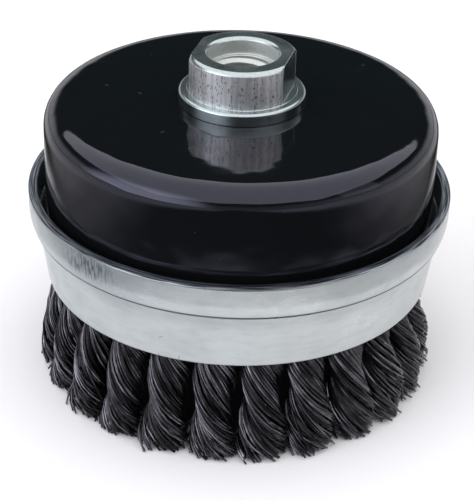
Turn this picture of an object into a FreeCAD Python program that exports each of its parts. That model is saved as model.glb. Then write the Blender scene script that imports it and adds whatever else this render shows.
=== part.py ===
import FreeCAD, Part
import math
import os

# A cup brush of twisted wire knots, standing on its wire tips with the nut up.
# The origin is the middle of the wire face, +Z is the spindle axis, and lengths are in millimetres.
# A dished holder carries the knots on its turned-down rim. The cup covers the holder, the nut is
# riveted through both, and a pressed ring round the cup's mouth keeps the knots from spreading.

# Main sizes of the brush
ring_diameter = 100.2
bare_wire_length = 25.6
ring_height = 22.4
cup_rise = 20.5

# Pressed sheets
cup_sheet = 2.0
ring_sheet = 2.2
holder_sheet = 2.0
sheared_edge = 0.35
fit_gap = 0.05

# Cup
cup_seat_depth = 3.17
cup_wall_draft = 0.48
cup_shoulder_rounding = 5.2

# Support ring: an upright band, a step in to the cup's mouth, and a tapered skirt
band_height = 6.17
step_drop = 5.55
step_angle = 23.0
band_rounding = 7.7
kink_rounding = 12.0
skirt_taper = 1.44
groove_depth_below_rim = 7.7
groove_width = 0.45
groove_depth = 0.3

# Knot holder
holder_rim_height = 10.0
holder_rim_above_ring_foot = 4.4
holder_rounding = 3.0
hub_radius = 19.0
hub_rounding = 3.5
slot_width = 6.3
slot_height = 4.6
slot_above_edge = 2.7

# Drive nut, M14 x 2 thread
nut_height = 12.1
nut_radius = 12.73
nut_chamfer = 0.85
flange_overhang = 2.02
flange_thickness = 3.05
flange_edge = 0.5
wrench_size = 22.0
flat_turn = -14.4
counterbore_radius = 8.0
counterbore_depth = 4.0
counterbore_chamfer = 0.7
thread_core_radius = 5.92
thread_lead_in = 0.9
shank_radius = 9.5
rivet_lip_overhang = 2.1
rivet_lip_thickness = 1.6
rivet_lip_chamfer = 0.7

# Knots
knot_count = 24
first_knot_azimuth = -81.0
leg_thickness = 2.6
leg_gap = 0.06
leg_corner = 1.1
loop_clearance = 1.44
neck_clearance = 0.8
tip_radius = 5.95
tip_inset = 0.3
crotch_height = 1.0
knot_turns = 0.8
twist_spread = 0.05
twist_rhythm = 2.4
knot_layers = 12
knot_ridges = 8
neck_swell = 2.2
strand_groove = 0.16
wire_ridge = 0.06
knot_gap = 0.05

# Heights above the wire face
ring_foot = bare_wire_length
ring_rim = ring_foot + ring_height
cup_top = ring_rim + cup_rise
nut_top = cup_top + nut_height
hub_foot = cup_top - cup_sheet - holder_sheet

# The ring's outline, and the place inside its step where the cup's mouth comes to rest
ring_radius = ring_diameter / 2
slope = math.tan(math.radians(step_angle))
slope_sheet = ring_sheet / math.cos(math.radians(step_angle))
step_top = ring_rim - band_height
kink_height = step_top - step_drop
kink_radius = ring_radius - step_drop * slope
foot_radius = kink_radius - skirt_taper
cup_mouth = step_top - cup_seat_depth
cup_mouth_radius = ring_radius - cup_seat_depth * slope - slope_sheet - fit_gap
cup_shoulder_radius = cup_mouth_radius - cup_wall_draft

# The holder's rim, on which the knots hang, leaves room for their loops inside the ring
holder_radius = foot_radius - ring_sheet - loop_clearance - leg_thickness - leg_gap
rim_edge = ring_foot + holder_rim_above_ring_foot
rim_shoulder = rim_edge + holder_rim_height
slot_foot = rim_edge + slot_above_edge
rim_middle = holder_radius - holder_sheet / 2
neck_radius = foot_radius - ring_sheet - neck_clearance - rim_middle
tip_outreach = ring_radius - tip_inset

# The nut's flange, and the lip that its shank is riveted into
flange_radius = nut_radius + flange_overhang
rivet_lip_radius = shank_radius + rivet_lip_overhang


def rounded_outline(corners):
    """Closed face in the X-Z plane. A corner is (distance from the axis, height, rounding).

    A negative rounding is a flat chamfer that starts that far from the corner.
    """
    starts, middles, ends = [], [], []
    for index, (radius, height, rounding) in enumerate(corners):
        corner = FreeCAD.Vector(radius, 0, height)
        before = FreeCAD.Vector(corners[index - 1][0], 0, corners[index - 1][1]) - corner
        following = corners[(index + 1) % len(corners)]
        after = FreeCAD.Vector(following[0], 0, following[1]) - corner
        before.normalize()
        after.normalize()
        half = before.getAngle(after) / 2
        reach = rounding / math.tan(half) if rounding > 0 else -rounding
        inward = before + after
        if rounding > 0:
            inward.normalize()
        starts.append(corner + before * reach)
        middles.append(corner + inward * (rounding / math.sin(half) - rounding))
        ends.append(corner + after * reach)
    edges = []
    for index in range(len(corners)):
        if corners[index][2] > 0:
            edges.append(Part.Arc(starts[index], middles[index], ends[index]).toShape())
        elif corners[index][2] < 0:
            edges.append(Part.LineSegment(starts[index], ends[index]).toShape())
        next_start = starts[(index + 1) % len(corners)]
        edges.append(Part.LineSegment(ends[index], next_start).toShape())
    return Part.Face(Part.Wire(edges))


def turned(corners):
    """Solid of revolution about the spindle axis."""
    outline = rounded_outline(corners)
    return outline.revolve(FreeCAD.Vector(0, 0, 0), FreeCAD.Vector(0, 0, 1), 360)


def pressed_sheet(side, sheet):
    """Corners of a pressed sheet: its outer side, and the same side moved in by the thickness."""
    normals = []
    for (r0, z0, _), (r1, z1, _) in zip(side, side[1:]):
        length = math.hypot(r1 - r0, z1 - z0)
        normals.append(((z1 - z0) / length, (r0 - r1) / length))
    inner = []
    for index, (radius, height, rounding) in enumerate(side):
        first = normals[max(index - 1, 0)]
        last = normals[min(index, len(normals) - 1)]
        share = sheet / (1 + first[0] * last[0] + first[1] * last[1])
        turn = first[0] * last[1] - first[1] * last[0]
        inner_rounding = rounding
        if turn < 0 < rounding:
            inner_rounding = rounding - sheet
        elif turn > 0:
            inner_rounding = rounding + sheet
        inner.append((radius + share * (first[0] + last[0]), height + share * (first[1] + last[1]),
                      inner_rounding))
    return side + inner[::-1]


def make_cup():
    """Pressed cup: flat top with the nut's hole, rounded shoulder, wall with a slight draft."""
    side = [
        (shank_radius + fit_gap, cup_top, 0),
        (cup_shoulder_radius, cup_top, cup_shoulder_rounding),
        (cup_mouth_radius, cup_mouth, 0),
    ]
    return turned(pressed_sheet(side, cup_sheet))


def make_ring():
    """Pressed ring, with a fine groove rolled in just under its upright band."""
    side = [
        (ring_radius, ring_rim, -sheared_edge),
        (ring_radius, step_top, band_rounding),
        (kink_radius, kink_height, kink_rounding),
        (foot_radius, ring_foot, -sheared_edge),
    ]
    groove_height = ring_rim - groove_depth_below_rim
    groove_radius = ring_radius - (step_top - groove_height) * slope
    groove = turned([
        (groove_radius - groove_depth, groove_height, 0),
        (groove_radius + groove_depth, groove_height + groove_width, 0),
        (groove_radius + groove_depth, groove_height - groove_width, 0),
    ])
    return turned(pressed_sheet(side, ring_sheet)).cut(groove)


def make_holder():
    """Dished holder: a hub under the cup's top, a cone, and a turned-down rim with one slot a knot."""
    side = [
        (shank_radius + fit_gap, hub_foot + holder_sheet, 0),
        (hub_radius, hub_foot + holder_sheet, hub_rounding),
        (holder_radius, rim_shoulder, holder_rounding),
        (holder_radius, rim_edge, 0),
    ]
    dish = turned(pressed_sheet(side, holder_sheet))
    slots = []
    for number in range(knot_count):
        corner = FreeCAD.Vector(holder_radius - 2 * holder_sheet, -slot_width / 2, slot_foot)
        slot = Part.makeBox(3 * holder_sheet, slot_width, slot_height, corner)
        slot.rotate(FreeCAD.Vector(0, 0, 0), FreeCAD.Vector(0, 0, 1), knot_azimuth(number))
        slots.append(slot)
    return dish.cut(slots)


def make_nut():
    """Flanged nut with two wrench flats; its shank is riveted over under the holder's hub."""
    flange_top = cup_top + flange_thickness
    ledge = nut_top - counterbore_depth
    lip_foot = hub_foot - rivet_lip_thickness
    nut = turned([
        (thread_core_radius, ledge, 0),
        (counterbore_radius, ledge, 0),
        (counterbore_radius, nut_top - counterbore_chamfer, 0),
        (counterbore_radius + counterbore_chamfer, nut_top, 0),
        (nut_radius - nut_chamfer, nut_top, 0),
        (nut_radius, nut_top - nut_chamfer, 0),
        (nut_radius, flange_top, 0),
        (flange_radius - flange_edge, flange_top, 0),
        (flange_radius, flange_top - flange_edge, 0),
        (flange_radius, cup_top, 0),
        (shank_radius, cup_top, 0),
        (shank_radius, hub_foot, 0),
        (rivet_lip_radius, hub_foot, 0),
        (rivet_lip_radius, lip_foot, -rivet_lip_chamfer),
        (thread_core_radius + thread_lead_in, lip_foot, 0),
        (thread_core_radius, lip_foot + thread_lead_in, 0),
    ])
    for side in (0, 180):
        corner = FreeCAD.Vector(wrench_size / 2, -nut_radius, flange_top)
        waste = Part.makeBox(nut_radius, 2 * nut_radius, nut_height, corner)
        waste.rotate(FreeCAD.Vector(0, 0, 0), FreeCAD.Vector(0, 0, 1), flat_turn + side)
        nut = nut.cut(waste)
    return nut


def knot_azimuth(number):
    """Direction of a knot seen from above, from +X towards +Y."""
    return first_knot_azimuth + number * 360 / knot_count


def make_knot_loop():
    """Eye of a knot: the bundle folded through a slot and round the edge of the holder's rim."""
    width = slot_width - 2 * leg_gap
    rim_inside = math.sqrt((holder_radius - holder_sheet - leg_gap) ** 2 - (width / 2) ** 2)
    rim_outside = holder_radius + leg_gap
    inside = rim_inside - leg_thickness
    outside = rim_outside + leg_thickness
    foot = rim_edge - crotch_height
    top = slot_foot + slot_height - leg_gap
    eye = rounded_outline([
        (inside, foot, 0),
        (inside, top - leg_corner, 0),
        (inside + leg_corner, top, 0),
        (outside - leg_corner, top, 0),
        (outside, top - leg_corner, 0),
        (outside, foot, 0),
    ])
    window = rounded_outline([
        (rim_inside, rim_edge - leg_gap, 0),
        (rim_inside, slot_foot + leg_gap, 0),
        (rim_outside, slot_foot + leg_gap, 0),
        (rim_outside, rim_edge - leg_gap, 0),
    ])
    loop = eye.cut(window).Faces[0].extrude(FreeCAD.Vector(0, width, 0))
    loop.translate(FreeCAD.Vector(0, -width / 2, 0))
    return loop


def knot_ring(share, turns):
    """One cross-section of the twisted legs; share runs from 0 at the crotch to 1 at the tips."""
    ease = share * share * (3 - 2 * share)
    centre = rim_middle + (tip_outreach - tip_radius - rim_middle) * ease
    size = tip_radius - (tip_radius - neck_radius) * (1 - share) ** neck_swell
    height = (rim_edge - crotch_height) * (1 - share)
    turn = 2 * math.pi * turns * share * (1.3 - 0.3 * share)
    points = []
    for step in range(2 * knot_ridges):
        around = math.pi * step / knot_ridges
        lobe = 1 - strand_groove * (1 - math.cos(2 * around))
        ridge = 1 + wire_ridge * (-1) ** step
        out = centre + size * lobe * ridge * math.cos(around + turn)
        across = size * lobe * ridge * math.sin(around + turn)
        room = out * math.tan(math.pi / knot_count) - knot_gap
        points.append(FreeCAD.Vector(out, max(-room, min(room, across)), height))
    return points


def make_knot(number, loop):
    """One knot: two legs twisted left-handed, flared, cut off at the wire face and hung in its slot.

    Hand-fed knots aren't wound alike, so each one's twist differs a little from the next one's.
    """
    turns = knot_turns * (1 + twist_spread * math.sin(twist_rhythm * number))
    rings = [knot_ring(layer / knot_layers, turns) for layer in range(knot_layers + 1)]
    faces = []
    for upper, lower in zip(rings, rings[1:]):
        for step in range(len(upper)):
            beside = (step + 1) % len(upper)
            for corners in ((upper[step], upper[beside], lower[step]),
                            (upper[beside], lower[beside], lower[step])):
                faces.append(Part.Face(Part.makePolygon(list(corners) + [corners[0]])))
    for end in (rings[0], rings[-1]):
        faces.append(Part.Face(Part.makePolygon(end + [end[0]])))
    shell = Part.makeShell(faces)
    shell.sewShape()
    twist = Part.makeSolid(shell)
    if twist.Volume < 0:
        twist.reverse()
    knot = twist.fuse(loop).removeSplitter()
    knot.rotate(FreeCAD.Vector(0, 0, 0), FreeCAD.Vector(0, 0, 1), knot_azimuth(number))
    return knot


def main():
    """Write one file for each piece."""
    os.makedirs("parts", exist_ok=True)
    pieces = {
        "drive_nut": make_nut(),
        "cup_shell": make_cup(),
        "support_ring": make_ring(),
        "knot_holder": make_holder(),
    }
    loop = make_knot_loop()
    for number in range(knot_count):
        pieces[f"knot_{number + 1:02d}"] = make_knot(number, loop)
    for name, shape in pieces.items():
        shape.exportStep(f"parts/{name}.step")
        print(name, shape.isValid(), len(shape.Solids), round(shape.Volume), len(shape.Faces))


main()
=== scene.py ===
# %% [markdown]
# # Twisted wire cup brush
# A cup brush cleans rust and paint off steel. Twenty-four twisted bundles of wire hang in a ring.
# A black cup covers the ends that are folded round a hidden holder, a zinc-plated ring keeps the
# bundles from spreading, and a plated nut screws the whole onto a grinder. This lesson dresses the
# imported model: it keeps every size and place of the frame, and gives each piece the surface that
# it has on the real brush.

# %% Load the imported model
import math
import random
import bpy
import bmesh
from mathutils import Matrix, Vector


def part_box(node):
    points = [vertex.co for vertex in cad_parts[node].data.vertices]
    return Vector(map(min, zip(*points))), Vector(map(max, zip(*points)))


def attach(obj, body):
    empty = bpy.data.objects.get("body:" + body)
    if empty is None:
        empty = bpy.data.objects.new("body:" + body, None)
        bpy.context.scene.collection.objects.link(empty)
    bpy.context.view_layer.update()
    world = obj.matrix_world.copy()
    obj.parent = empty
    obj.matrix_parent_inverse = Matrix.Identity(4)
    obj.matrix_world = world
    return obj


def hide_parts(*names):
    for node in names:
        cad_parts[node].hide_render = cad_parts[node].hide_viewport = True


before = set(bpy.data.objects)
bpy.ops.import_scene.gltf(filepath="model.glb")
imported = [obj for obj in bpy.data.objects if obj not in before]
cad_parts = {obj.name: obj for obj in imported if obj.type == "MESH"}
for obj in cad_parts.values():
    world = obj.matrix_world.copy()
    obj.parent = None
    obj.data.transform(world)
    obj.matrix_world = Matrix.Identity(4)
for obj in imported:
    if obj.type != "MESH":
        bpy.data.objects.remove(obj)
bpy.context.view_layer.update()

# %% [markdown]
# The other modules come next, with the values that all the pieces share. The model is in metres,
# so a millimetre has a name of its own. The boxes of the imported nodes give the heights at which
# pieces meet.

mm = 0.001
_, ring_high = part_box("support_ring")
cup_low, cup_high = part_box("cup_shell")
nut_low, nut_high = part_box("drive_nut")
ring_rim = ring_high.z / mm
cup_top = cup_high.z / mm
nut_top = nut_high.z / mm
bare_wire_length = 25.6
print("heights in mm: rim", round(ring_rim, 2), "cup", round(cup_top, 2), "nut", round(nut_top, 2))

# %% [markdown]
# The camera stands in front of the brush, a little above it, and looks down at about thirty
# degrees, as in the photograph. It is turned slightly about its own line of sight, because the
# brush leans in the picture. Its place and its lens come from fitting the rims of the ring and the
# cup.

# %% Camera
camera_place = Vector((0, -321.875, 219.019)) * mm
camera_pitch = math.radians(30.70)
camera_yaw = math.radians(-0.03)
camera_roll = math.radians(1.584)
camera_lens = 109.78


def make_camera():
    """Camera at the photograph's angle, aimed by its pitch, yaw and roll."""
    look = Vector((math.sin(camera_yaw) * math.cos(camera_pitch),
                   math.cos(camera_yaw) * math.cos(camera_pitch),
                   -math.sin(camera_pitch)))
    level = look.cross(Vector((0, 0, 1))).normalized()
    above = level.cross(look)
    right = math.cos(camera_roll) * level + math.sin(camera_roll) * above
    up = math.cos(camera_roll) * above - math.sin(camera_roll) * level
    data = bpy.data.cameras.new("camera")
    data.lens = camera_lens
    data.sensor_width = 36
    data.clip_start = 0.01
    camera = bpy.data.objects.new("camera", data)
    bpy.context.scene.collection.objects.link(camera)
    turn = Matrix((right, up, -look)).transposed().to_4x4()
    camera.matrix_world = Matrix.Translation(camera_place) @ turn
    bpy.context.scene.camera = camera
    print("camera", round(camera_place.length, 3), "m from the middle of the wire face")


make_camera()
bpy.context.scene.view_settings.view_transform = "Standard"

# %% [markdown]
# Cup, ring and nut are all round about the brush's axis, and a lathe or a press makes the real
# ones. So each starts as a line in the plane of the axis: half of its section. Its corners are
# rounded by bevelling single vertices, and the line is then spun a full turn. Rings of faces that
# follow the real tool marks keep the reflections clean, which a triangulated solid can't.

# %% Helpers for turned pieces
round_steps = 240
corner_steps = 8
sharp_angle = math.radians(28)
support_gap = 0.6


def draw_section(bm, corners, closed=False):
    """Line in the X-Z plane. A corner is (radius, height, rounding) in millimetres."""
    points = [Vector((radius, 0, height)) * mm for radius, height, _ in corners]
    verts = [bm.verts.new(point) for point in points]
    for first, second in zip(verts, verts[1:]):
        bm.edges.new((first, second))
    if closed:
        bm.edges.new((verts[-1], verts[0]))
    for index, (_, _, rounding) in enumerate(corners):
        if rounding:
            before = points[index - 1] - points[index]
            after = points[(index + 1) % len(points)] - points[index]
            reach = rounding * mm / math.tan(before.angle(after) / 2)
            bmesh.ops.bevel(bm, geom=[verts[index]], affect="VERTICES", offset=reach,
                            offset_type="OFFSET", segments=corner_steps, profile=0.5, material=-1)


def add_supports(bm):
    """Extra points close to both ends of each long run, so that its shading stays flat between."""
    for edge in [edge for edge in bm.edges if edge.calc_length() > 3 * support_gap * mm]:
        for end in edge.verts[:]:
            share = support_gap * mm / edge.calc_length()
            new_edge, _ = bmesh.utils.edge_split(edge, end, share)
            edge = max(edge, new_edge, key=lambda part: part.calc_length())


def spin_round(bm):
    """Spins the drawn line a full turn about the brush's axis."""
    bmesh.ops.spin(bm, geom=bm.edges[:], cent=(0, 0, 0), axis=(0, 0, 1), angle=math.tau,
                   steps=round_steps, use_merge=True)
    bmesh.ops.recalc_face_normals(bm, faces=bm.faces[:])


def soften_edges(bm, width, steps=2, angle=sharp_angle):
    """Bevels the edges where two faces meet at more than the given angle."""
    edges = [edge for edge in bm.edges if edge.is_manifold and edge.calc_face_angle() > angle]
    bmesh.ops.bevel(bm, geom=edges, affect="EDGES", offset=width * mm, offset_type="OFFSET",
                    segments=steps, profile=0.5, material=-1)


# %% [markdown]
# A bmesh is only a drawing board: to be seen, it has to become the mesh of an object.

# %% Helpers for finished pieces
def object_from(name, bm):
    """Object at the origin with the bmesh as its mesh. The bmesh is freed."""
    mesh = bpy.data.meshes.new(name)
    bm.to_mesh(mesh)
    bm.free()
    made = bpy.data.objects.new(name, mesh)
    bpy.context.scene.collection.objects.link(made)
    return made


def finish_piece(name, bm, slot, *nodes):
    """Smooth piece from a bmesh: it rides with the brush and stands for the named nodes."""
    piece = object_from(name, bm)
    piece.data.shade_smooth()
    piece.data.set_sharp_from_angle(angle=sharp_angle)
    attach(piece, "root")
    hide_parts(*nodes)
    triangles = sum(len(face.vertices) - 2 for face in piece.data.polygons)
    print(name, "has", triangles, "triangles")
    return piece


# %% [markdown]
# The cup is pressed from sheet: a flat top with the nut's hole, a rounded shoulder, and a wall
# that widens a little downwards. Only its outer side is drawn. Solidify gives the sheet its
# thickness after the spin, with the normals made outward first, because the thickness grows
# against them.

# %% Black cup
sheet = 2.0
nut_hole_radius = 9.55
cup_mouth_radius = cup_high.x / mm
cup_shoulder_radius = cup_mouth_radius - 0.48
cup_shoulder_rounding = 5.2
cup_mouth = cup_low.z / mm + 0.03
sheet_edge = 0.25


def make_cup():
    """Pressed cup, from the nut's hole out over the shoulder and down to the mouth."""
    bm = bmesh.new()
    draw_section(bm, [
        (nut_hole_radius, cup_top, 0),
        (cup_shoulder_radius, cup_top, cup_shoulder_rounding),
        (cup_mouth_radius, cup_mouth, 0),
    ])
    add_supports(bm)
    spin_round(bm)
    bmesh.ops.solidify(bm, geom=bm.faces[:], thickness=sheet * mm)
    soften_edges(bm, sheet_edge)
    return finish_piece("black_cup", bm, "black_lacquer", "cup_shell")


cup = make_cup()

# %% [markdown]
# The support ring is pressed from thicker sheet. An upright band stands round the cup's mouth, a
# step narrows it, and a long skirt tapers down over the knots. A fine groove is rolled in under
# the band, and shows in the photograph as one grey line.

# %% Zinc-plated ring
ring_radius = ring_high.x / mm
ring_sheet = 2.2
band_height = 6.17
step_drop = 5.55
step_slope = math.tan(math.radians(23))
skirt_taper = 1.44
band_rounding = 7.0
kink_rounding = 12.0
groove_depth_below_rim = 7.8
groove_half_width = 0.26
groove_depth = 0.26
ring_edge = 0.35
ring_edge_angle = math.radians(60)


def make_ring():
    """Pressed ring: band, step, skirt, and the groove rolled into the step."""
    step_top = ring_rim - band_height
    kink_radius = ring_radius - step_drop * step_slope
    groove_height = ring_rim - groove_depth_below_rim
    groove_radius = ring_radius - (step_top - groove_height) * step_slope
    lip = groove_half_width * step_slope
    bm = bmesh.new()
    draw_section(bm, [
        (ring_radius, ring_rim, 0),
        (ring_radius, step_top, band_rounding),
        (groove_radius + lip, groove_height + groove_half_width, 0),
        (groove_radius - groove_depth, groove_height, 0),
        (groove_radius - lip, groove_height - groove_half_width, 0),
        (kink_radius, step_top - step_drop, kink_rounding),
        (kink_radius - skirt_taper, bare_wire_length, 0),
    ])
    add_supports(bm)
    spin_round(bm)
    bmesh.ops.solidify(bm, geom=bm.faces[:], thickness=ring_sheet * mm)
    soften_edges(bm, ring_edge, angle=ring_edge_angle)
    return finish_piece("plated_ring", bm, "plated_ring", "support_ring")


ring = make_ring()

# %% [markdown]
# The drive nut is turned from bar, so its whole section is drawn as a closed line: the outer side,
# the counterbore, the threaded bore, and the shank whose end is riveted out under the holder. It
# is kept as a blank at first, because the mill still has to cut it.

# %% Blank of the drive nut
nut_radius = 12.73
nut_chamfer = 0.85
flange_radius = nut_high.x / mm
flange_top = cup_top + 3.05
flange_edge = 0.5
counterbore_radius = 8.0
counterbore_chamfer = 0.7
ledge = nut_top - 4.0
shank_radius = 9.5
hub_foot = cup_top - 4.0
rivet_lip_radius = 11.6
rivet_lip_chamfer = 0.7
lip_foot = nut_low.z / mm
thread_root_radius = 7.0


def make_blank():
    """Nut as it leaves the lathe, with a smooth bore."""
    bm = bmesh.new()
    draw_section(bm, [
        (thread_root_radius, ledge, 0),
        (counterbore_radius, ledge, 0),
        (counterbore_radius, nut_top - counterbore_chamfer, 0),
        (counterbore_radius + counterbore_chamfer, nut_top, 0),
        (nut_radius - nut_chamfer, nut_top, 0),
        (nut_radius, nut_top - nut_chamfer, 0),
        (nut_radius, flange_top, 0),
        (flange_radius - flange_edge, flange_top, 0),
        (flange_radius, flange_top - flange_edge, 0),
        (flange_radius, cup_top, 0),
        (shank_radius, cup_top, 0),
        (shank_radius, hub_foot, 0),
        (rivet_lip_radius, hub_foot, 0),
        (rivet_lip_radius, lip_foot + rivet_lip_chamfer, 0),
        (rivet_lip_radius - rivet_lip_chamfer, lip_foot, 0),
        (thread_root_radius, lip_foot, 0),
    ], closed=True)
    spin_round(bm)
    return object_from("nut_body", bm)


# %% [markdown]
# Two flats for a 22 mm wrench are milled after turning, and here two blocks cut them by a boolean,
# as the mill does it. The thread is a ridge with a trapezoid section: a spin with a rise in every
# step winds it up the bore. It is buried a little in the bore's wall, so that no gap shows between
# them.

# %% Flats, thread and the finished nut
wrench_size = 22.0
flat_turn = math.radians(-14.4)
nut_edge = 0.12
thread_core_radius = 5.92
thread_pitch = 2.0
thread_crest_width = 0.3
thread_root_width = 1.7
thread_steps = 60
thread_bury = 0.05


def make_flat_cutter():
    """Two blocks that stand where the mill takes metal away."""
    bm = bmesh.new()
    height = nut_top - flange_top + nut_chamfer
    for side in (-1, 1):
        middle = Vector((side * (wrench_size / 2 + nut_radius), 0, flange_top + height / 2)) * mm
        size = Matrix.Diagonal((2 * nut_radius * mm, 3 * nut_radius * mm, height * mm, 1))
        block = Matrix.Rotation(flat_turn, 4, "Z") @ Matrix.Translation(middle) @ size
        bmesh.ops.create_cube(bm, size=1, matrix=block)
    return object_from("flat_cutter", bm)


def wind_thread():
    """Ridge of the internal thread, wound up the bore from its foot to the counterbore's ledge."""
    foot = lip_foot + thread_root_width
    rise = ledge - foot - thread_root_width / 2
    turns = math.floor(rise / thread_pitch * thread_steps) / thread_steps
    outer = thread_root_radius + thread_bury
    section = [(outer, -thread_root_width / 2), (thread_core_radius, -thread_crest_width / 2),
               (thread_core_radius, thread_crest_width / 2), (outer, thread_root_width / 2)]
    bm = bmesh.new()
    verts = [bm.verts.new(Vector((radius, 0, foot + height)) * mm) for radius, height in section]
    start = bm.faces.new(verts)
    rise_per_step = Vector((0, 0, thread_pitch * mm / thread_steps))
    bmesh.ops.spin(bm, geom=[start], cent=(0, 0, 0), axis=(0, 0, 1), angle=math.tau * turns,
                   dvec=rise_per_step, steps=round(turns * thread_steps))
    open_edges = [edge for edge in bm.edges if edge.is_boundary]
    bmesh.ops.holes_fill(bm, edges=open_edges, sides=len(section))
    bmesh.ops.recalc_face_normals(bm, faces=bm.faces[:])
    print("thread of", round(turns, 2), "turns")
    return object_from("thread", bm)


def make_nut():
    """Turned nut with two milled flats and a threaded bore."""
    blank, cutter, thread = make_blank(), make_flat_cutter(), wind_thread()
    cut = blank.modifiers.new("flats", "BOOLEAN")
    cut.operation = "DIFFERENCE"
    cut.solver = "EXACT"
    cut.object = cutter
    milled = blank.evaluated_get(bpy.context.evaluated_depsgraph_get())
    bm = bmesh.new()
    bm.from_mesh(bpy.data.meshes.new_from_object(milled))
    soften_edges(bm, nut_edge, steps=1)
    bm.from_mesh(thread.data)
    for leftover in (blank, cutter, thread):
        bpy.data.objects.remove(leftover)
    return finish_piece("plated_nut", bm, "plated_nut", "drive_nut")


nut = make_nut()
nut.modifiers.new("even_shading", "WEIGHTED_NORMAL").keep_sharp = True

# %% [markdown]
# Each knot is a bundle of wires that is pushed half way through a slot of the holder, folded round
# the holder's rim and twisted into a left-handed rope of two legs. So one wire has two tips: it
# runs up one leg, over the rim and down the other leg. These are the sizes of such a rope, in
# millimetres. Near the tips the twist opens: the wires sweep on round the rope, and a few of them
# stray from it.

# %% Knot sizes
knot_count = 24
first_knot_azimuth = math.radians(-81)
wire_radius = 0.23
side_room = math.tan(math.pi / knot_count)

rim_middle = 39.0
rim_half_sheet = 1.0
rim_edge = bare_wire_length + 4.4
leg_thickness = 2.6
leg_half_width = 3.0
slot_foot = rim_edge + 2.7
slot_height = 4.5

crotch = rim_edge - 1.0
neck_radius = 4.3
neck_swell = 2.2
tip_radius = 5.95
tip_outreach = 49.8
knot_turns = 0.8
twist_start = 1.3
twist_ease = 0.3
strand_groove = 0.16

loose_from = 0.45
tip_reach = 0.5
stray_reach = 1.8
stray_swell = 0.28

# %% [markdown]
# A wire keeps its place in the leg's section, which is how the whole bundle turns together and
# swells towards its tips. The place is a depth, from 0 in the middle to 1 on the outside, and an
# angle.

# %% Path of one wire
def knot_point(share, depth, angle, turns, loose, stray):
    """Place in a knot that points along +X. Share is 0 at the crotch and 1 at the tips."""
    ease = share * share * (3 - 2 * share)
    size = tip_radius - (tip_radius - neck_radius) * (1 - share) ** neck_swell - wire_radius
    centre = rim_middle + (tip_outreach - tip_radius - rim_middle) * ease
    turn = math.tau * turns * share * (twist_start - twist_ease * share)
    lobe = 1 - strand_groove * (1 - math.cos(2 * angle))
    reach = size * depth * lobe * (1 + stray_swell * stray)
    out = min(tip_outreach - wire_radius, centre + reach * math.cos(angle + turn))
    room = out * side_room - wire_radius + tip_reach * loose + stray_reach * stray
    across = max(-room, min(room, reach * math.sin(angle + turn)))
    height = max(wire_radius, crotch * (1 - share))
    return Vector((out, across, height))


def fold_point(part, depth, angle):
    """Place in the fold over the holder's rim. Part runs from 0 outside the rim to 1 inside it."""
    bend = math.pi * part
    reach = rim_half_sheet + wire_radius + depth * leg_thickness
    rise = slot_foot - crotch + depth * slot_height
    across = leg_half_width * math.sin(angle)
    return Vector((rim_middle + reach * math.cos(bend), across, crotch + rise * math.sin(bend)))


# %% [markdown]
# Splines with a round bevel make the wires. A small seeded error in each wire keeps them from
# looking combed: it sways about its place, swells a little more or less than its neighbours,
# sweeps its own way near the tip and ends a little short. One tip in five strays: its sweep
# differs more, and it may stand further out of the rope.

# %% One whole wire
leg_steps = 16
fold_steps = 6
stray_share = 0.2
sway_spread = 0.12
swell_spread = 0.04
tip_sweep = 0.85
sweep_spread = 0.2
stray_sweep_spread = 0.75
short_middle = 0.02
short_spread = 0.028
short_most = 0.10


def leg_path(depth, angle, turns, dice):
    """Points of a wire in one leg, from the crotch to its tip."""
    is_stray = dice.random() < stray_share
    sway = dice.gauss(0, sway_spread)
    swell = dice.gauss(0, swell_spread)
    sweep = dice.gauss(tip_sweep, stray_sweep_spread if is_stray else sweep_spread)
    short = min(short_most, abs(dice.gauss(short_middle, short_spread)))
    leg = []
    for step in range(leg_steps + 1):
        share = (1 - short) * step / leg_steps
        loose = max(0.0, (share - loose_from) / (1 - loose_from)) ** 2
        stray = loose if is_stray else 0.0
        place_in_depth = min(1.0, depth + swell * share)
        place_round = angle + sway * share + sweep * loose
        leg.append(knot_point(share, place_in_depth, place_round, turns, loose, stray))
    return leg


def wire_path(depth, angle, turns, dice):
    """Points of one whole wire: up the outer leg, over the rim, and down the inner leg."""
    outer, inner = [leg_path(depth, angle + side, turns, dice) for side in (0, math.pi)]
    fold = [fold_point(step / fold_steps, depth, angle) for step in range(1, fold_steps)]
    return outer[::-1] + fold + inner


# %% [markdown]
# The wires of a leg lie in layers, most of them on the outside, where they show. Along a layer
# they crowd together in clumps. All the wires of a knot go into one curve object, are made a mesh,
# and the mesh gets one more value per wire, its shade, which the steel's colour reads later. Every
# spline has as many points as the next, so the mesh's points come in equal blocks, a block for
# each wire.

# %% The twenty-four knots
knot_seed = 1200
leg_layers = [(0.98, 29), (0.82, 19), (0.55, 8), (0.25, 4)]
depth_spread = 0.015
angle_spread = 0.02
clump_turn = 0.045
clump_count = 13
twist_spread = 0.05
twist_rhythm = 2.4
merge_distance = 0.001


def new_wires():
    """Empty curve whose splines are drawn as round wires with closed ends."""
    curve = bpy.data.curves.new("wires", "CURVE")
    curve.dimensions = "3D"
    curve.bevel_depth = wire_radius * mm
    curve.bevel_resolution = 1
    curve.use_fill_caps = True
    return curve


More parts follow.
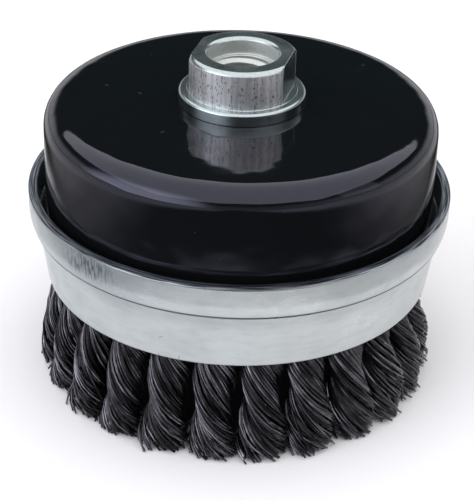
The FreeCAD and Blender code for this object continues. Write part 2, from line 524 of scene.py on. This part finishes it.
def make_knot(number):
    """Twisted knot of whole wires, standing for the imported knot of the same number."""
    dice = random.Random(knot_seed + number)
    turns = knot_turns * (1 + twist_spread * math.sin(twist_rhythm * number))
    turn = Matrix.Rotation(first_knot_azimuth + number * math.tau / knot_count, 3, "Z")
    clump_start = dice.uniform(0, math.tau)
    curve = new_wires()
    shades = []
    for layer_depth, count in leg_layers:
        for seat in range(count):
            angle = (seat + 0.5) / count * math.pi - math.pi / 2 + dice.gauss(0, angle_spread)
            angle += clump_turn * math.sin(clump_count * angle + clump_start)
            depth = min(1.0, layer_depth + dice.gauss(0, depth_spread))
            path = wire_path(depth, angle, turns, dice)
            spline = curve.splines.new("POLY")
            spline.points.add(len(path) - 1)
            for point, place_in_knot in zip(spline.points, path):
                point.co = (*(turn @ place_in_knot * mm), 1)
            shades.append(dice.random())
    wires = bpy.data.objects.new("wires", curve)
    bpy.context.scene.collection.objects.link(wires)
    mesh = bpy.data.meshes.new_from_object(wires)
    bpy.data.objects.remove(wires)
    block = len(mesh.vertices) // len(shades)
    shade = mesh.attributes.new("wire_shade", "FLOAT", "POINT")
    shade.data.foreach_set("value", [value for value in shades for _ in range(block)])
    bm = bmesh.new()
    bm.from_mesh(mesh)
    bmesh.ops.remove_doubles(bm, verts=bm.verts[:], dist=merge_distance * mm)
    return finish_piece(f"wire_knot_{number + 1:02d}", bm, "knot_wire", f"knot_{number + 1:02d}")


knots = [make_knot(number) for number in range(knot_count)]

# %% [markdown]
# Materials are built from nodes. A few small helpers keep that short. One adds a node and feeds its
# sockets. The others each add a kind of node that is used often, and give back its result.

# %% Helpers for nodes
whole = (0.0, 1.0)
fading = (1.0, 0.0)


def feed(tree, socket, value):
    """Gives a socket a plain value, or a link when the value is itself a socket."""
    if isinstance(value, bpy.types.NodeSocket):
        tree.links.new(value, socket)
    else:
        socket.default_value = value


def place(tree, kind, sockets=None, **settings):
    """Adds a node, changes its settings, and feeds its sockets by their names or numbers."""
    node = tree.nodes.new(kind)
    for name, value in settings.items():
        setattr(node, name, value)
    for name, value in (sockets or {}).items():
        feed(tree, node.inputs[name], value)
    return node


def calculate(tree, operation, *values):
    """Result of a Math node."""
    return place(tree, "ShaderNodeMath", dict(enumerate(values)), operation=operation).outputs[0]


def calculate_vector(tree, operation, *values):
    """Result of a Vector Math node: a vector, or one number for a length or a dot product."""
    node = place(tree, "ShaderNodeVectorMath", dict(enumerate(values)), operation=operation)
    return node.outputs["Value" if operation in ("LENGTH", "DOT_PRODUCT") else "Vector"]


def remap(tree, value, source, target=whole, **settings):
    """Value from a source range into a target range, held at both ends."""
    ends = dict(zip(("From Min", "From Max", "To Min", "To Max"), (*source, *target)))
    return place(tree, "ShaderNodeMapRange", {"Value": value, **ends}, **settings).outputs[0]


def noise(tree, vector, scale, detail=2.0, roughness=0.5):
    """Soft noise around one half. A higher scale makes it finer, more detail more ragged."""
    sockets = {"Vector": vector, "Scale": scale, "Detail": detail, "Roughness": roughness}
    return place(tree, "ShaderNodeTexNoise", sockets).outputs["Fac"]


def streaks(tree, vector, scales, detail):
    """Noise with a scale of its own for each axis, so it is drawn out along the low ones."""
    stretched = place(tree, "ShaderNodeMapping", {"Vector": vector, "Scale": scales})
    return noise(tree, stretched.outputs[0], 1.0, detail)


def mix_colour(tree, factor, first, second):
    """Colour between two colours. The Mix node's colours are its sockets 6 and 7."""
    sockets = {"Factor": factor, 6: first, 7: second}
    return place(tree, "ShaderNodeMix", sockets, data_type="RGBA").outputs[2]


# %% [markdown]
# A node group is a piece of a material that several materials share, with named inputs and outputs.
# Each material has one shader. What is the same all over a piece is set on the shader itself, and
# what changes over its surface is fed to it: colour, roughness and the small bends of a bump.

# %% Helpers for groups and materials
def start_group(name, inputs, outputs):
    """Node group with its named sockets; returns the tree, the input node and the output node."""
    tree = bpy.data.node_groups.new(name, "ShaderNodeTree")
    for way, sockets in (("INPUT", inputs), ("OUTPUT", outputs)):
        for label, kind in sockets.items():
            tree.interface.new_socket(label, in_out=way, socket_type="NodeSocket" + kind)
    return tree, tree.nodes.new("NodeGroupInput"), tree.nodes.new("NodeGroupOutput")


def use_group(tree, group, sockets):
    """Result of a node group that is placed in a material with its own values."""
    return place(tree, "ShaderNodeGroup", sockets, node_tree=group).outputs[0]


def start_material(name, **values):
    """Material with one Principled shader, whose named sockets get the given values."""
    material = bpy.data.materials.new(name)
    material.use_nodes = True
    tree = material.node_tree
    shader = tree.nodes["Principled BSDF"]
    for socket, value in values.items():
        shader.inputs[socket.replace("_", " ")].default_value = value
    coordinates = place(tree, "ShaderNodeTexCoord")
    return material, tree, shader, coordinates.outputs["Object"]


def add_bump(tree, shader, height, strength, distance):
    """Feeds a height over the surface to the shader, as small bends of its normals."""
    sockets = {"Strength": strength, "Distance": distance, "Height": height}
    feed(tree, shader.inputs["Normal"], place(tree, "ShaderNodeBump", sockets).outputs[0])


def dress(material, *pieces):
    """Gives pieces their one material."""
    for piece in pieces:
        piece.data.materials.clear()
        piece.data.materials.append(material)
    nodes = len(material.node_tree.nodes)
    print(material.name, "has", nodes, "nodes, and is on", len(pieces), "piece(s)")


# %% [markdown]
# A turned or rubbed surface has marks that run round it or up it. The first group unrolls the
# brush: it turns a place into the way round, the height and the distance from the axis, all in
# metres. The second makes short scratches, one at most in each cell of a grid, each turned its own
# way. Cells sets how many cells fit in a metre, and Share how many of them show a scratch.

# %% Groups for marks on the surface
cell_disorder = 0.7


def unrolled_group():
    """Way round at the ring's radius, height, and distance from the axis."""
    tree, given, result = start_group("unrolled", {"Vector": "Vector"}, {"Vector": "Vector"})
    parts = place(tree, "ShaderNodeSeparateXYZ", {"Vector": given.outputs["Vector"]})
    sideways, back, height = parts.outputs
    angle = calculate(tree, "ARCTAN2", sideways, calculate(tree, "MULTIPLY", back, -1.0))
    around = calculate(tree, "MULTIPLY", angle, ring_radius * mm)
    level = place(tree, "ShaderNodeCombineXYZ", {"X": sideways, "Y": back})
    radius = calculate_vector(tree, "LENGTH", level.outputs[0])
    joined = place(tree, "ShaderNodeCombineXYZ", {"X": around, "Y": height, "Z": radius})
    tree.links.new(joined.outputs[0], result.inputs["Vector"])
    return tree


def scaled_up(tree, vector, factor):
    """Vector times a factor."""
    return place(tree, "ShaderNodeVectorMath", {0: vector, "Scale": factor},
                 operation="SCALE").outputs[0]


def nicks_group():
    """Mask of short straight scratches."""
    numbers = {label: "Float" for label in ("Cells", "Length", "Width", "Share")}
    tree, given, result = start_group("nicks", {"Vector": "Vector", **numbers}, {"Mask": "Float"})
    vector, cells, length, width, share = given.outputs[:5]
    grid = place(tree, "ShaderNodeTexVoronoi",
                 {"Vector": vector, "Scale": cells, "Randomness": cell_disorder})
    middle = scaled_up(tree, grid.outputs["Position"], cells)
    away = calculate_vector(tree, "SUBTRACT", scaled_up(tree, vector, cells), middle)
    chance = place(tree, "ShaderNodeSeparateColor", {"Color": grid.outputs["Color"]})
    angle = calculate(tree, "MULTIPLY", chance.outputs["Red"], math.tau)
    turned = place(tree, "ShaderNodeVectorRotate", {"Vector": away, "Angle": angle},
                   rotation_type="Z_AXIS")
    local = place(tree, "ShaderNodeSeparateXYZ", {"Vector": turned.outputs[0]})
    along, beside = [calculate(tree, "ABSOLUTE", local.outputs[axis]) for axis in ("X", "Y")]
    reach = calculate(tree, "MULTIPLY", chance.outputs["Green"], length)
    near = calculate(tree, "LESS_THAN", along, reach)
    thin = calculate(tree, "LESS_THAN", beside, width)
    shown = calculate(tree, "LESS_THAN", chance.outputs["Blue"], share)
    both = calculate(tree, "MULTIPLY", near, thin)
    tree.links.new(calculate(tree, "MULTIPLY", both, shown), result.inputs["Mask"])
    return tree


unrolled = unrolled_group()
nicks = nicks_group()
print("groups:", unrolled.name, "with", len(unrolled.nodes), "nodes,",
      nicks.name, "with", len(nicks.nodes), "nodes")

# %% [markdown]
# The cup is dipped in black lacquer and hung to dry. It is a plain glossy coat, so its look is
# nearly all reflection: only dust, a few light scratches on its top and the faint unevenness of a
# dipped coat show.

# %% Black lacquer
lacquer_tone = (0.0035, 0.004, 0.0045, 1)
lacquer_tint = (0.76, 0.77, 1.0, 1)
lacquer_roughness = (0.07, 0.45)
dust_tone = (0.04, 0.042, 0.045, 1)
dust_scale = 2600.0
dust_range = (0.775, 0.83)
top_scratches = {"Cells": 250.0, "Length": 0.18, "Width": 0.02, "Share": 0.035}
top_line = (cup_top - 0.3) * mm
ripple_scale = 36.0


def make_lacquer():
    """Glossy black coat with dust, and with fine scratches on the cup's top."""
    material, tree, shader, coordinates = start_material("black_lacquer", IOR=1.5,
                                                         Specular_Tint=lacquer_tint)
    scratches = use_group(tree, nicks, {"Vector": coordinates, **top_scratches})
    height = place(tree, "ShaderNodeSeparateXYZ", {"Vector": coordinates}).outputs["Z"]
    on_top = calculate(tree, "GREATER_THAN", height, top_line)
    scratched = calculate(tree, "MULTIPLY", scratches, on_top)
    dusty = remap(tree, noise(tree, coordinates, dust_scale, detail=1.0), dust_range)
    marked = calculate(tree, "MAXIMUM", scratched, dusty)
    feed(tree, shader.inputs["Base Color"], mix_colour(tree, marked, lacquer_tone, dust_tone))
    feed(tree, shader.inputs["Roughness"], remap(tree, marked, whole, lacquer_roughness))
    ripple = noise(tree, coordinates, ripple_scale, detail=2.5)
    add_bump(tree, shader, ripple, strength=0.6, distance=0.0016)
    return material


dress(make_lacquer(), cup)

# %% [markdown]
# Zinc plating is a thin bright metal film. On the ring it is satin: the sheet's own surface
# scatters the light, cloudy patches change its tone, and the drawing of the sheet left faint lines
# round it. The scales of such streaks are for the way round, the height and the radius.

# %% Cloudy zinc
cool_zinc = ((0.39, 0.45, 0.48, 1), (0.55, 0.62, 0.65, 1))
warm_zinc = (0.57, 0.58, 0.55, 1)
cloud_scale = 75.0
cloud_range = (0.32, 0.68)
warmth_scale = 16.0
drawn_tone = (0.26, 0.30, 0.33, 1)
drawn_scales = (180.0, 620.0, 1.0)
drawn_range = (0.46, 0.72)
drawn_share = (0.0, 0.20)


def cloudy_zinc(tree, coordinates, flat):
    """Cloudiness, and the tone of cool and warm patches with faint lines round the ring."""
    ragged = noise(tree, coordinates, cloud_scale, detail=5.0, roughness=0.62)
    cloud = remap(tree, ragged, cloud_range)
    warmth = noise(tree, coordinates, warmth_scale, detail=1.0)
    clouded = mix_colour(tree, warmth, mix_colour(tree, cloud, *cool_zinc), warm_zinc)
    drawn = remap(tree, streaks(tree, flat, drawn_scales, detail=3.0), drawn_range, drawn_share)
    return cloud, mix_colour(tree, drawn, clouded, drawn_tone)


# %% [markdown]
# Storage and use wear the film. At the left front it is stained, and rubbed by short upright marks.
# The wear fades with the distance from the middle of that spot, which is wider than it is high.

# %% Worn zinc
rubbed_spot = (-0.036, 0.0453, ring_radius * mm)
rubbed_flatness = (1, 2.4, 1)
rub_tone = (0.11, 0.125, 0.135, 1)
rub_scales = (1500.0, 380.0, 1.0)
rub_range = (0.47, 0.60)
rub_reach = (0.003, 0.010)
stain_tone = (0.15, 0.17, 0.19, 1)
stain_reach = (0.002, 0.024)
stain_share = (0.62, 0.0)
ring_scratches = {"Cells": 210.0, "Length": 0.16, "Width": 0.025, "Share": 0.10}
scratch_share = 0.5


def add_wear(tree, flat, tone):
    """The tone with its stained and rubbed spot, and with short scratches all round."""
    from_spot = calculate_vector(tree, "SUBTRACT", flat, rubbed_spot)
    flattened = calculate_vector(tree, "MULTIPLY", from_spot, rubbed_flatness)
    away = calculate_vector(tree, "LENGTH", flattened)
    marks = remap(tree, streaks(tree, flat, rub_scales, detail=2.0), rub_range)
    rubbed = calculate(tree, "MULTIPLY", marks, remap(tree, away, rub_reach, fading))
    scratches = use_group(tree, nicks, {"Vector": flat, **ring_scratches})
    faint = calculate(tree, "MULTIPLY", scratches, scratch_share)
    stained = mix_colour(tree, remap(tree, away, stain_reach, stain_share), tone, stain_tone)
    return mix_colour(tree, calculate(tree, "MAXIMUM", rubbed, faint), stained, rub_tone)


# %% [markdown]
# Two thin lines finish the ring. The groove's shade is painted: a darker tone in a thin band at its
# height. The rim's top is the edge where the press sheared the sheet; its tone is darker and it is
# a little rougher, with fine rings.

# %% Zinc of the ring
groove_line = (ring_rim - groove_depth_below_rim) * mm
groove_shade_half = 0.2 * mm
# painted shade: colour of the darker band along the groove
groove_painted_shade = (0.22, 0.24, 0.25, 1)
rim_line = (ring_rim - 0.22) * mm
rim_tones = ((0.03, 0.035, 0.042, 1), (0.36, 0.40, 0.44, 1))
rim_scales = (90.0, 1.0, 2600.0)
rim_range = (0.42, 0.64)
rim_extra_roughness = 0.12
satin_roughness = (0.36, 0.26)
grain_scales = (60.0, 3500.0, 1.0)


def add_lines(tree, flat, height, on_rim, tone):
    """The tone with painted shade along the groove, and the darker sheared edge of the rim."""
    # painted shade: a darker tone in a thin band at the groove's height
    off_groove = calculate(tree, "ABSOLUTE", calculate(tree, "SUBTRACT", height, groove_line))
    in_groove = calculate(tree, "LESS_THAN", off_groove, groove_shade_half)
    grooved = mix_colour(tree, in_groove, tone, groove_painted_shade)
    sheared = remap(tree, streaks(tree, flat, rim_scales, detail=2.0), rim_range)
    return mix_colour(tree, on_rim, grooved, mix_colour(tree, sheared, *rim_tones))


def make_ring_zinc():
    """Satin zinc with cloudy patches, wear, painted shade in the groove and a darker sheared rim.
    """
    material, tree, shader, coordinates = start_material("ring_zinc", Metallic=1.0)
    flat = use_group(tree, unrolled, {"Vector": coordinates})
    height = place(tree, "ShaderNodeSeparateXYZ", {"Vector": flat}).outputs["Y"]
    on_rim = calculate(tree, "GREATER_THAN", height, rim_line)
    cloud, clouded = cloudy_zinc(tree, coordinates, flat)
    worn = add_wear(tree, flat, clouded)
    satin = remap(tree, cloud, whole, satin_roughness)
    roughness = calculate(tree, "MULTIPLY_ADD", on_rim, rim_extra_roughness, satin)
    feed(tree, shader.inputs["Base Color"], add_lines(tree, flat, height, on_rim, worn))
    feed(tree, shader.inputs["Roughness"], roughness)
    grain = streaks(tree, flat, grain_scales, detail=1.0)
    add_bump(tree, shader, grain, strength=0.12, distance=0.00005)
    return material


dress(make_ring_zinc(), ring)

# %% [markdown]
# The nut has the same film over turned steel. Its side shows the fine rings of the lathe tool and
# small dark pits; the bore is rough, and its paler tone is partly the zinc's own and partly painted
# light for the lit inside of the bore. Masks made from height and radius tell the faces apart.

# %% Zinc of the nut
side_low = (flange_top + 0.1) * mm
side_high = (nut_top - nut_chamfer) * mm
side_radius = (nut_radius - 0.25) * mm
bore_radius = (counterbore_radius + 0.1) * mm
plain_tone = (0.38, 0.44, 0.44, 1)
side_tones = ((0.44, 0.45, 0.46, 1), (0.69, 0.69, 0.70, 1))
side_scales = (260.0, 60.0, 60.0)
side_range = (0.35, 0.65)
bore_tone_and_painted_light = (0.55, 0.58, 0.56, 1)
pit_tone = (0.12, 0.12, 0.15, 1)
nut_pits = {"Cells": 1900.0, "Length": 0.52, "Width": 0.17, "Share": 0.5}
pit_share = 0.2
side_extra_pits = 0.6
film_scale = 160.0
film_roughness = (0.15, 0.30)
side_extra_roughness = 0.24
bore_extra_roughness = 0.28
tool_scales = (20.0, 4000.0, 4000.0)


def nut_masks(tree, flat):
    """Mask of the turned side, and mask of the bore."""
    parts = place(tree, "ShaderNodeSeparateXYZ", {"Vector": flat})
    height, radius = parts.outputs["Y"], parts.outputs["Z"]
    below_top = calculate(tree, "LESS_THAN", height, side_high)
    above_flange = calculate(tree, "GREATER_THAN", height, side_low)
    between = calculate(tree, "MULTIPLY", below_top, above_flange)
    outside = calculate(tree, "GREATER_THAN", radius, side_radius)
    on_side = calculate(tree, "MULTIPLY", between, outside)
    return on_side, calculate(tree, "LESS_THAN", radius, bore_radius)


def nut_tone(tree, coordinates, flat, on_side, in_bore):
    """Greenish zinc, streaked with fine dark pits on the turned side, and paler in the bore, partly
    as painted light.
    """
    streaked = remap(tree, streaks(tree, flat, side_scales, detail=3.0), side_range)
    sided = mix_colour(tree, on_side, plain_tone, mix_colour(tree, streaked, *side_tones))
    # paler bore: partly the zinc's own tone, partly painted light inside the bore
    bored = mix_colour(tree, in_bore, sided, bore_tone_and_painted_light)
    pits = use_group(tree, nicks, {"Vector": coordinates, **nut_pits})
    share = calculate(tree, "MULTIPLY_ADD", on_side, side_extra_pits, pit_share)
    return mix_colour(tree, calculate(tree, "MULTIPLY", pits, share), bored, pit_tone)


def make_nut_zinc():
    """Zinc over turned steel, with the fine rings of the tool."""
    material, tree, shader, coordinates = start_material("nut_zinc", Metallic=1.0)
    flat = use_group(tree, unrolled, {"Vector": coordinates})
    on_side, in_bore = nut_masks(tree, flat)
    tone = nut_tone(tree, coordinates, flat, on_side, in_bore)
    smooth = remap(tree, noise(tree, coordinates, film_scale, detail=3.0), whole, film_roughness)
    sided = calculate(tree, "MULTIPLY_ADD", on_side, side_extra_roughness, smooth)
    roughness = calculate(tree, "MULTIPLY_ADD", in_bore, bore_extra_roughness, sided)
    feed(tree, shader.inputs["Base Color"], tone)
    feed(tree, shader.inputs["Roughness"], roughness)
    rings = streaks(tree, flat, tool_scales, detail=1.0)
    add_bump(tree, shader, rings, strength=0.22, distance=0.00006)
    return material


dress(make_nut_zinc(), nut)

# %% [markdown]
# The wires are hard-drawn steel, dark from their heat treatment and a film of oil. Each is round
# and fairly smooth, so it carries a thin light line along its length. Wires differ a little in
# tone, and the shade that each one was given mixes two tones of the same steel.

# %% Knot wire
wire_tones = ((0.012, 0.012, 0.014, 1), (0.185, 0.185, 0.205, 1))
wire_roughness = (0.16, 0.36)
shade_power = 2.0
oil_tone = (0.016, 0.015, 0.017, 1)
oil_scale = 350.0
oil_range = (0.35, 0.75)
oil_share = (0.0, 0.8)


def make_wire_steel():
    """Dark oiled steel whose tone differs from wire to wire."""
    material, tree, shader, coordinates = start_material("wire_steel", Metallic=0.9)
    shade = place(tree, "ShaderNodeAttribute", attribute_name="wire_shade",
                  attribute_type="GEOMETRY")
    bright = calculate(tree, "POWER", shade.outputs["Fac"], shade_power)
    steel = mix_colour(tree, bright, *wire_tones)
    oil = noise(tree, coordinates, oil_scale)
    oiled = mix_colour(tree, remap(tree, oil, oil_range, oil_share), steel, oil_tone)
    feed(tree, shader.inputs["Base Color"], oiled)
    feed(tree, shader.inputs["Roughness"], remap(tree, oil, whole, wire_roughness))
    return material


dress(make_wire_steel(), *knots)

# %% [markdown]
# The holder is only seen from below, between the knots. Its shape comes straight from the packed
# model, and it is plain pressed steel with a grey phosphate film.

# %% Knot holder
film_tones = ((0.16, 0.165, 0.17, 1), (0.30, 0.30, 0.30, 1))
blotch_scale = 90.0
blotch_roughness = (0.4, 0.65)


def make_holder_steel():
    """Matt grey film on pressed steel, slightly blotched."""
    material, tree, shader, coordinates = start_material("holder_steel", Metallic=0.8)
    blotch = noise(tree, coordinates, blotch_scale, detail=4.0)
    feed(tree, shader.inputs["Base Color"], mix_colour(tree, blotch, *film_tones))
    feed(tree, shader.inputs["Roughness"], remap(tree, blotch, whole, blotch_roughness))
    return material


dress(make_holder_steel(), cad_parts["knot_holder"])

# %% [markdown]
# The floor is a wide pale sheet. Near the brush it carries the soft shadow, and its light comes
# back up into the ring and the wires. Far from the brush the lamps no longer reach it, so there it
# glows a little for the camera and for reflections, and stays pale as far as the eye goes.

# %% Floor
floor_half = 12.0
floor_tones = ((0.80, 0.80, 0.80, 1), (0.82, 0.82, 0.82, 1))
fleck_scale = 3.0
far_tone = (0.9, 0.9, 0.9, 1)
far_range = (0.35, 1.8)


def make_floor_paint():
    """Pale paint that glows far away, for the eye and for mirrors only."""
    material, tree, shader, coordinates = start_material("floor_paint", Roughness=0.9,
                                                         Emission_Color=far_tone)
    out = calculate_vector(tree, "LENGTH", coordinates)
    far = remap(tree, out, far_range, interpolation_type="SMOOTHSTEP")
    ray = place(tree, "ShaderNodeLightPath").outputs
    seen = calculate(tree, "MAXIMUM", ray["Is Camera Ray"], ray["Is Glossy Ray"])
    any_seen = calculate(tree, "MAXIMUM", seen, ray["Is Transmission Ray"])
    colour = mix_colour(tree, noise(tree, coordinates, fleck_scale), *floor_tones)
    feed(tree, shader.inputs["Base Color"], colour)
    feed(tree, shader.inputs["Emission Strength"], calculate(tree, "MULTIPLY", far, any_seen))
    return material


def make_floor():
    """Pale floor at the height of the wire tips."""
    bm = bmesh.new()
    bmesh.ops.create_grid(bm, x_segments=1, y_segments=1, size=floor_half)
    floor = object_from("floor", bm)
    dress(make_floor_paint(), floor)


make_floor()

# %% [markdown]
# A polished black piece shows what lies round it, so product photographers lay dark cards out of
# the picture. Here a wide ring of card lies round the brush and is only seen in reflections. It is
# as pale as the floor where the zinc ring mirrors it, and goes dark further out, where the cup's
# wall mirrors it, but turns grey at the sides. All its distances are in metres.

# %% Wide card
card_inner = 0.065
card_outer = 6.0
card_steps = 96
card_lift = 0.3 * mm
card_squeeze = (1.15, 1, 1)
near_range = (0.120, 0.150)
near_and_far_tone = (0.81, 0.02)
side_reach = (0.09, 0.20)
side_brightness = (0.0, 0.60)


def make_wide_paper():
    """Matt paper: pale near the brush, dark further out, grey at the sides."""
    material, tree, shader, coordinates = start_material("wide_card_paper", Roughness=1.0,
                                                         Specular_IOR_Level=0.0)
    squeezed = calculate_vector(tree, "MULTIPLY", coordinates, card_squeeze)
    out = calculate_vector(tree, "LENGTH", squeezed)
    near = remap(tree, out, near_range, near_and_far_tone, interpolation_type="SMOOTHSTEP")
    across = place(tree, "ShaderNodeSeparateXYZ", {"Vector": coordinates}).outputs["X"]
    sideways = calculate(tree, "ABSOLUTE", across)
    side = remap(tree, sideways, side_reach, side_brightness, interpolation_type="SMOOTHSTEP")
    feed(tree, shader.inputs["Base Color"], calculate(tree, "MAXIMUM", near, side))
    return material


def make_wide_card():
    """Ring of card that only reflections see."""
    bm = bmesh.new()
    ends = [bm.verts.new((radius, 0, card_lift)) for radius in (card_inner, card_outer)]
    line = bm.edges.new(ends)
    bmesh.ops.spin(bm, geom=[line], cent=(0, 0, 0), axis=(0, 0, 1), angle=math.tau,
                   steps=card_steps, use_merge=True)
    card = object_from("wide_card", bm)
    dress(make_wide_paper(), card)
    card.visible_camera = False
    card.visible_diffuse = False
    card.visible_shadow = False


make_wide_card()

# %% [markdown]
# A small black round card lies under the brush, inside the circle of knots. It is painted shade: it
# keeps the gaps between the knots dark.

# %% Round card
round_radius = 0.036
round_segments = 64
shade_card_tones = ((0.008, 0.008, 0.008, 1), (0.02, 0.02, 0.02, 1))
fibre_scale = 400.0


def make_round_card():
    """Round of black card under the brush, painted shade for the gaps between the knots."""
    bm = bmesh.new()
    bmesh.ops.create_circle(bm, cap_ends=True, radius=round_radius, segments=round_segments,
                            matrix=Matrix.Translation((0, 0, card_lift)))
    card = object_from("round_card", bm)
    material, tree, shader, coordinates = start_material("painted_shade_card", Roughness=0.9)
    fibre = noise(tree, coordinates, fibre_scale)
    # black tones of the painted shade under the knots
    feed(tree, shader.inputs["Base Color"], mix_colour(tree, fibre, *shade_card_tones))
    dress(material, card)


make_round_card()

# %% [markdown]
# The lights are placed for their reflections too. One broad lamp overhead gives the pale band on
# the cup's shoulder. A small lamp at the right lifts that side a little.

# %% Lamps
def make_lamp(name, stand, aim, width, height, brightness, colour):
    """Soft rectangular lamp that shines from its stand to its aim with the given radiance."""
    data = bpy.data.lights.new(name, "AREA")
    data.shape = "RECTANGLE"
    data.size = width
    data.size_y = height
    data.energy = brightness * math.pi * width * height
    data.color = colour
    lamp = bpy.data.objects.new(name, data)
    lamp.location = stand
    lamp.rotation_euler = (Vector(aim) - Vector(stand)).to_track_quat("-Z", "Y").to_euler()
    bpy.context.scene.collection.objects.link(lamp)
    print(name, "lamp has", round(data.energy, 2), "watts")


make_lamp("overhead", stand=(0, -0.22, 0.95), aim=(0, -0.22, 0), width=2.9, height=2.7,
          brightness=1.73, colour=(1.0, 0.97, 1.0))
make_lamp("right_side", stand=(0.85, -0.35, 0.38), aim=(0, 0, 0.05), width=0.45, height=0.45,
          brightness=0.5, colour=(1.0, 0.97, 0.93))

# %% [markdown]
# The world is pale near the horizon, though less so behind the camera, and dim above, which keeps
# the cup's top black. A soft glow low at the left, like a window, draws thin bright lines on the
# wires.

# %% World
horizon_tone = (0.80, 0.81, 0.83, 1)
front_tone = (0.32, 0.32, 0.35, 1)
front_range = (-0.9, -0.3)
dim_tone = (0.017, 0.032, 0.035, 1)
dim_range = (0.16, 0.34)
glow_tone = (3.3, 3.4, 3.7, 1)
glow_direction = Vector((-0.80, -0.55, 0.10)).normalized()
glow_range = (0.72, 0.98)


def make_world():
    """Pale near the horizon and brightest at the left; dim above it."""
    world = bpy.data.worlds.new("studio")
    world.use_nodes = True
    tree = world.node_tree
    direction = place(tree, "ShaderNodeTexCoord").outputs["Generated"]
    parts = place(tree, "ShaderNodeSeparateXYZ", {"Vector": direction})
    in_front = remap(tree, parts.outputs["Y"], front_range, fading)
    horizon = mix_colour(tree, in_front, horizon_tone, front_tone)
    above = remap(tree, parts.outputs["Z"], dim_range, interpolation_type="SMOOTHSTEP")
    dimmed = mix_colour(tree, above, horizon, dim_tone)
    towards = calculate_vector(tree, "DOT_PRODUCT", direction, glow_direction)
    glow = remap(tree, towards, glow_range, interpolation_type="SMOOTHSTEP")
    background = tree.nodes["Background"]
    feed(tree, background.inputs["Color"], mix_colour(tree, glow, dimmed, glow_tone))
    bpy.context.scene.world = world
    print("world", world.name, "has", len(tree.nodes), "nodes")


make_world()
